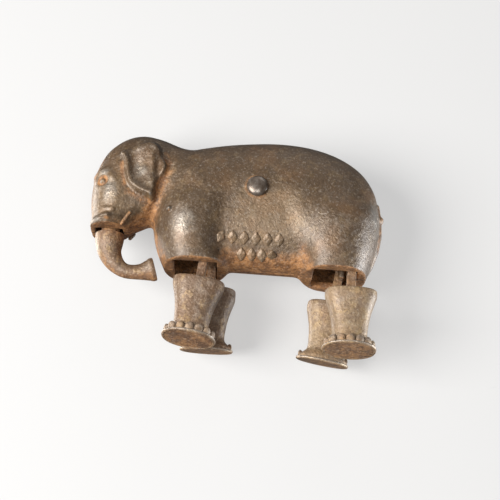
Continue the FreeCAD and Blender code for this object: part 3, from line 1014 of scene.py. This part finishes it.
def pin_finish():
    """Drawn iron wire, rusted."""
    finish = Finish("pin_wire")
    patchy = finish.noise(1.4, 3.0, 0.6)
    draw = finish.noise(0.3, 2.0, 0.5, (1.0, 0.08, 1.0))
    rust = finish.step(patchy + (draw - 0.5) * 0.4, 0.42, 0.62)
    base = finish.blend(rust, shade(0.24, 0.19, 0.15), shade(0.22, 0.085, 0.030))
    rough = (0.42 + rust * 0.35 + (draw - 0.5) * 0.2).capped()
    metallic = (0.85 - rust * 0.7).capped()
    return finish.coat(Base_Color=base, Roughness=rough, Metallic=metallic, Normal=finish.dent(draw, 0.03))


RIVET_IRON = rivet_finish()
PIN_WIRE = pin_finish()


# ---- Rivet, toe nails and flank lozenges ----

def rivet_piece():
    """Rivet through both halves: a turned profile with a slightly battered dome at each end."""
    low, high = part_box("body_rivet")
    reach = (high.y - low.y) / 2 / MM
    profile = []
    for angle in np.radians(10.5 * np.arange(1, 9)):
        profile.append((2.88 * math.sin(angle), reach - 1.22 * (1 - math.cos(angle))))
    profile += [(2.98, reach - 1.28), (2.86, reach - 1.42), (1.6, reach - 1.5)]
    profile += [(radius, -place) for radius, place in reversed(profile)]
    around = 96
    turns = np.arange(around) * math.tau / around
    batter = 0.014 * np.sin(3 * turns + 1.0) + 0.012 * np.sin(5 * turns + 2.2)
    flat = 0.05 * np.abs(np.sin(2 * turns + 0.6))
    places = [(0, reach, 0)]
    for radius, place in profile:
        wide = radius * (1 + batter * (radius > 1.7) * 0.5)
        lift = flat * min(radius / 3.0, 1) * (radius > 0.3) * (abs(place) > reach - 1.25)
        level = place - lift * math.copysign(1, place)
        places += zip(wide * np.cos(turns), level, wide * np.sin(turns))
    places.append((0, -reach, 0))
    last = len(places) - 1
    faces = []
    for spoke in range(around):
        following = (spoke + 1) % around
        faces += [(0, 1 + following, 1 + spoke), (last, last - around + spoke, last - around + following)]
        for start in range(1, last - around, around):
            a, b = start + spoke, start + following
            faces.append((a, b, b + around, a + around))
    mesh = bpy.data.meshes.new("rivet")
    mesh.from_pydata([to_metres(place) for place in places], [], faces)
    mesh.materials.append(RIVET_IRON)
    mesh.polygons.foreach_set("use_smooth", [True] * len(mesh.polygons))
    return in_scene("rivet", mesh)


def foot_ring(node, height, outward, from_turn, to_turn, count):
    """Places round a foot a little above its sloping sole, for the node's own leg."""
    length, width = leg_widths(height)
    turns = np.radians(np.linspace(from_turn, to_turn, count))
    across, aside = np.sin(turns), -np.cos(turns)
    x = (length + outward) * np.sign(across) * np.abs(across) ** (2 / FOOT_SQUARENESS)
    y = (width + outward) * np.sign(aside) * np.abs(aside) ** (2 / FOOT_SQUARENESS)
    z = LEG_SOLE - LEGS[node].drop + height - y * math.tan(SOLE_SLOPE)
    return leg_place(node, np.stack([x, y - LEG_MIDDLE_Y, z], 1))


def toe_nail_piece(node, finish):
    """Seven domed nails round the outer side of a foot."""
    growth = Growth(node + "_nails")
    count = growth.size("Nails", 7, "NodeSocketInt")
    width = growth.size("Nail width", 2.3 * MM)
    height = growth.size("Nail height", 2.5 * MM)
    rise = growth.size("Nail thickness", 1.15 * MM)
    seed = growth.size("Seed", 5, "NodeSocketInt")
    spots = growth.node("GeometryNodeCurveToPoints", {"mode": "COUNT"},
                        {"Curve": growth.start, "Count": count})
    blank = growth.make("MeshIcoSphere", Radius=0.5, Subdivisions=4)
    size = growth.node("ShaderNodeCombineXYZ", inputs={"X": rise, "Y": height, "Z": width})
    vary = growth.node("FunctionNodeRandomValue", {"data_type": "FLOAT"}, {2: 0.9, 3: 1.08, "Seed": seed}, 1)
    sizes = growth.node("ShaderNodeVectorMath", {"operation": "SCALE"}, {0: size, "Scale": vary})
    nails = growth.make("InstanceOnPoints", Points=spots, Instance=blank, Rotation=spots.beside("Rotation"),
                        Scale=sizes)
    path = curve_object(node + "_nail_line", foot_ring(node, 1.45, -0.1, -76, 76, 9))
    return growth.grow(path, nails, finish, node + "_toe_nails")


def foot_rim_piece(node, finish):
    """Rounded bead round the lower edge of a foot."""
    growth = Growth(node + "_rim")
    radius = growth.size("Bead radius", 0.46 * MM)
    sides = growth.size("Sides", 14, "NodeSocketInt")
    steps = growth.size("Steps", 150, "NodeSocketInt")
    loop = growth.make("SetSplineCyclic", Geometry=growth.start, Cyclic=True)
    even = growth.make("ResampleCurve", Curve=loop, Count=steps)
    bead = growth.make("CurvePrimitiveCircle", Radius=radius, Resolution=sides)
    sweep = growth.make("CurveToMesh", Curve=even, Profile_Curve=bead)
    path = curve_object(node + "_rim_line", foot_ring(node, 0.34, -0.05, 0, 345, 24))
    path.data.splines[0].use_endpoint_u = False
    path.data.splines[0].use_cyclic_u = True
    return growth.grow(path, sweep, finish, node + "_foot_rim")


LOZENGE_POWER = 1.3         # 1 draws a ball in to a diamond, 2 leaves it round


def lozenge_piece(shell, finish):
    """Rows of plain raised lozenges laid on the left flank."""
    growth = Growth("flank_lozenges")
    count_high = growth.size("Upper count", 6, "NodeSocketInt")
    count_low = growth.size("Lower count", 4, "NodeSocketInt")
    pitch_high = growth.size("Upper pitch", 3.2 * MM)
    pitch_low = growth.size("Lower pitch", 2.8 * MM)
    length = growth.size("Length", 2.75 * MM)
    height = growth.size("Height", 3.9 * MM)
    rise = growth.size("Rise", 1.05 * MM)
    shell = growth.size("Flank", shell, "NodeSocketObject")
    rows = []
    for count, pitch, place in ((count_high, pitch_high, (-9.1, -15.0, -14.1)),
                                (count_low, pitch_low, (-3.2, -15.0, -18.0))):
        offset = growth.node("ShaderNodeCombineXYZ", inputs={"X": pitch})
        row = growth.make("MeshLine", Count=count, Start_Location=to_metres(place), Offset=offset)
        rows.append(row)
    both = growth.make("JoinGeometry", Geometry=rows[0])
    growth.plug(both.socket.node.inputs["Geometry"], rows[1])
    flank = growth.make("ObjectInfo", "Geometry", Object=shell)
    ray = growth.make("Raycast", "Hit Position", Target_Geometry=flank, Ray_Direction=(0, 1, 0),
                      Ray_Length=0.03)
    facing = ray.beside("Hit Normal")
    laid = growth.make("SetPosition", Geometry=both, Position=ray)
    blank = growth.make("MeshIcoSphere", Radius=0.5, Subdivisions=4)
    where = growth.make("InputPosition")
    parts = growth.node("ShaderNodeSeparateXYZ", inputs={"Vector": where})
    u = abs(parts) * 2.0
    v = abs(parts.beside(1)) * 2.0
    power = (u ** LOZENGE_POWER + v ** LOZENGE_POWER) ** (1 / LOZENGE_POWER)
    draw_in = growth.maths("SQRT", u * u + v * v) / growth.maths("MAXIMUM", power, 0.05)
    squeezed = growth.node("ShaderNodeVectorMath", {"operation": "SCALE"}, {0: where, "Scale": draw_in})
    shaped = growth.make("SetPosition", Geometry=blank, Position=squeezed)
    turn = growth.node("FunctionNodeAlignRotationToVector", {"axis": "Z"}, {"Vector": facing})
    size = growth.node("ShaderNodeCombineXYZ", inputs={"X": length, "Y": height, "Z": rise})
    placed = growth.make("InstanceOnPoints", Points=laid, Instance=shaped, Rotation=turn, Scale=size)
    start = in_scene("lozenge_start", bpy.data.meshes.new("lozenge_start"))
    return growth.grow(start, placed, finish, "flank_lozenges")


# ---- Making the toy ----

FIELDS = casting_fields()

left = shell_piece("left_casting", DARK_CASTING, False)
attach(left, "casing")
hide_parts("shell_left")

right = shell_piece("right_casting", DARK_CASTING, True)
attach(right, "casing")
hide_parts("shell_right")

rivet = rivet_piece()
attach(rivet, "casing")
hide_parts("body_rivet")

lozenges = lozenge_piece(left, DARK_CASTING)
put_marks(lozenges, {"rust": 0.35, "wear_and_highlight": 0.35, "pale": 0.9})
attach(lozenges, "casing")

for node in LEGS:
    body = LEGS[node].body
    leg = leg_piece(node, WORN_CASTING)
    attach(leg, body)
    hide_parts(node)
    # grey metal on the nails and the bottom bead of each foot: wear, and a painted highlight along the bright
    # lower rim; faces turned down get more rust
    for trim, rust, wear_and_highlight in ((toe_nail_piece(node, WORN_CASTING), 0.45, 0.6),
                             (foot_rim_piece(node, WORN_CASTING), 0.15, 1.1)):
        up = vectors(trim.data.vertex_normals, "vector")[:, 2]
        put_marks(trim, {"rust": rust + 0.4 * ease(-up, 0.3, 0.9), "wear_and_highlight": wear_and_highlight * ease(up, -0.6, 0.3)})
        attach(trim, body)

trunk = trunk_piece(WORN_CASTING)
trunk_places = (vectors(trunk.data.vertices, "co") - np.array(RIVET)) / MM
trunk_facings = vectors(trunk.data.vertex_normals, "vector")
# painted highlight: grey metal on the side of the trunk facing -X, the side the key lamp lights
put_marks(trunk, {
    "rust": np.clip(0.30 + 0.45 * ease(-trunk_facings[:, 2], 0.2, 0.9)
                    + 0.35 * ease(trunk_places[:, 2], -16, -11)
                    + 0.30 * ease(trunk_facings[:, 0], 0.2, 0.9), 0, 1),
    "wear_and_highlight": 0.75 * ease(-trunk_facings[:, 0], 0.35, 0.95), "pale": 0.05})
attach(trunk, "hanging_trunk")
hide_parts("trunk")

nub = trunk_nub_piece(WORN_CASTING)
put_marks(nub, {"rust": 0.4, "wear_and_highlight": 0.5})
for piece in (nub, trunk_neck_piece(WORN_CASTING)):
    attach(piece, "hanging_trunk")

for node in ("front_leg_pin", "rear_leg_pin", "trunk_pin"):
    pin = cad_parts[node]
    pin.data.materials.clear()
    pin.data.materials.append(PIN_WIRE)


# ---- Floor, wall, lights and camera ----

def pale_sheet(name, corners, colour, glow):
    """A pale sheet seen only from its front, which neither shades nor tints the toy."""
    finish = Finish(name)
    finish.coat(Base_Color=shade(*colour), Roughness=0.9, Specular_IOR_Level=0.1,
                Emission_Color=shade(*colour), Emission_Strength=glow)
    clear = finish.node("ShaderNodeBsdfTransparent")
    behind = finish.node("ShaderNodeNewGeometry", output="Backfacing")
    both = finish.node("ShaderNodeMixShader", inputs={0: behind, 1: Value(finish, finish.shader.outputs[0]),
                                                      2: clear})
    out = finish.tree.nodes["Material Output"]
    finish.tree.links.new(both.socket, out.inputs["Surface"])
    mesh = bpy.data.meshes.new(name)
    mesh.from_pydata(corners, [], [(0, 1, 2, 3)])
    mesh.materials.append(finish.material)
    sheet = in_scene(name, mesh)
    sheet.visible_shadow = False
    sheet.visible_diffuse = False
    sheet.visible_glossy = False


def soft_light(name, offset, size, power, colour):
    """A round soft light, placed in metres from the toy's middle and turned towards it."""
    data = bpy.data.lights.new(name, "AREA")
    data.shape = "DISK"
    data.size = size
    data.energy = power
    data.color = colour
    light = in_scene(name, data)
    light.location = TOY_MIDDLE + Vector(offset)
    light.rotation_euler = (TOY_MIDDLE - light.location).to_track_quat("-Z", "Y").to_euler()


WALL_Y = CAD_BOX[1][1] + 0.0004
REACH = 0.7
CORNERS = [(-REACH, -REACH), (REACH, -REACH), (REACH, REACH), (-REACH, REACH)]
pale_sheet("wall", [(x, WALL_Y, z) for x, z in CORNERS], (0.30, 0.30, 0.30), 1.6)
pale_sheet("floor", [(x, y, 0) for x, y in CORNERS], (0.30, 0.30, 0.30), 1.6)

TOY_MIDDLE = Vector((-0.002, 0, 0.032))
soft_light("key", (-0.46, -0.46, -0.16), 0.46, 8.2, (1.0, 0.98, 0.95))
soft_light("right", (0.52, 0.10, -0.08), 0.30, 4.4, (0.88, 0.94, 1.0))
soft_light("front", (0.06, -0.62, -0.24), 0.30, 0.8, (1.0, 0.97, 0.93))
soft_light("top", (0.10, -0.20, 0.55), 0.50, 0.5, (1.0, 0.98, 0.95))
soft_light("back", (-0.50, 0.34, 0.12), 0.40, 2.8, (1.0, 0.94, 0.87))

world = bpy.data.worlds.new("studio")
world.use_nodes = True
sky = world.node_tree.nodes["Background"].inputs
sky["Color"].default_value = shade(0.62, 0.63, 0.65)
sky["Strength"].default_value = 0.24
bpy.context.scene.world = world
bpy.context.scene.view_settings.view_transform = "Standard"

LOOK_UP = math.radians(20.0)
ROLL = math.radians(3.8)
CAMERA_FROM_RIVET = (-0.892, -357.220, -144.210)


def place_camera():
    """Long lens, looking up at the toy's left side from the height of a table edge, slightly rolled."""
    data = bpy.data.cameras.new("camera")
    data.lens = 97.56
    data.sensor_width = 36.0
    data.clip_start = 0.01
    ahead = Vector((0, math.cos(LOOK_UP), math.sin(LOOK_UP)))
    over = Vector((0, -math.sin(LOOK_UP), math.cos(LOOK_UP)))
    side = Vector((1, 0, 0))
    across = side * math.cos(ROLL) + over * math.sin(ROLL)
    upward = over * math.cos(ROLL) - side * math.sin(ROLL)
    camera = in_scene("camera", data)
    turn = Matrix((across, upward, -ahead)).transposed().to_4x4()
    camera.matrix_world = Matrix.Translation(to_metres(CAMERA_FROM_RIVET)) @ turn
    bpy.context.scene.camera = camera


place_camera()
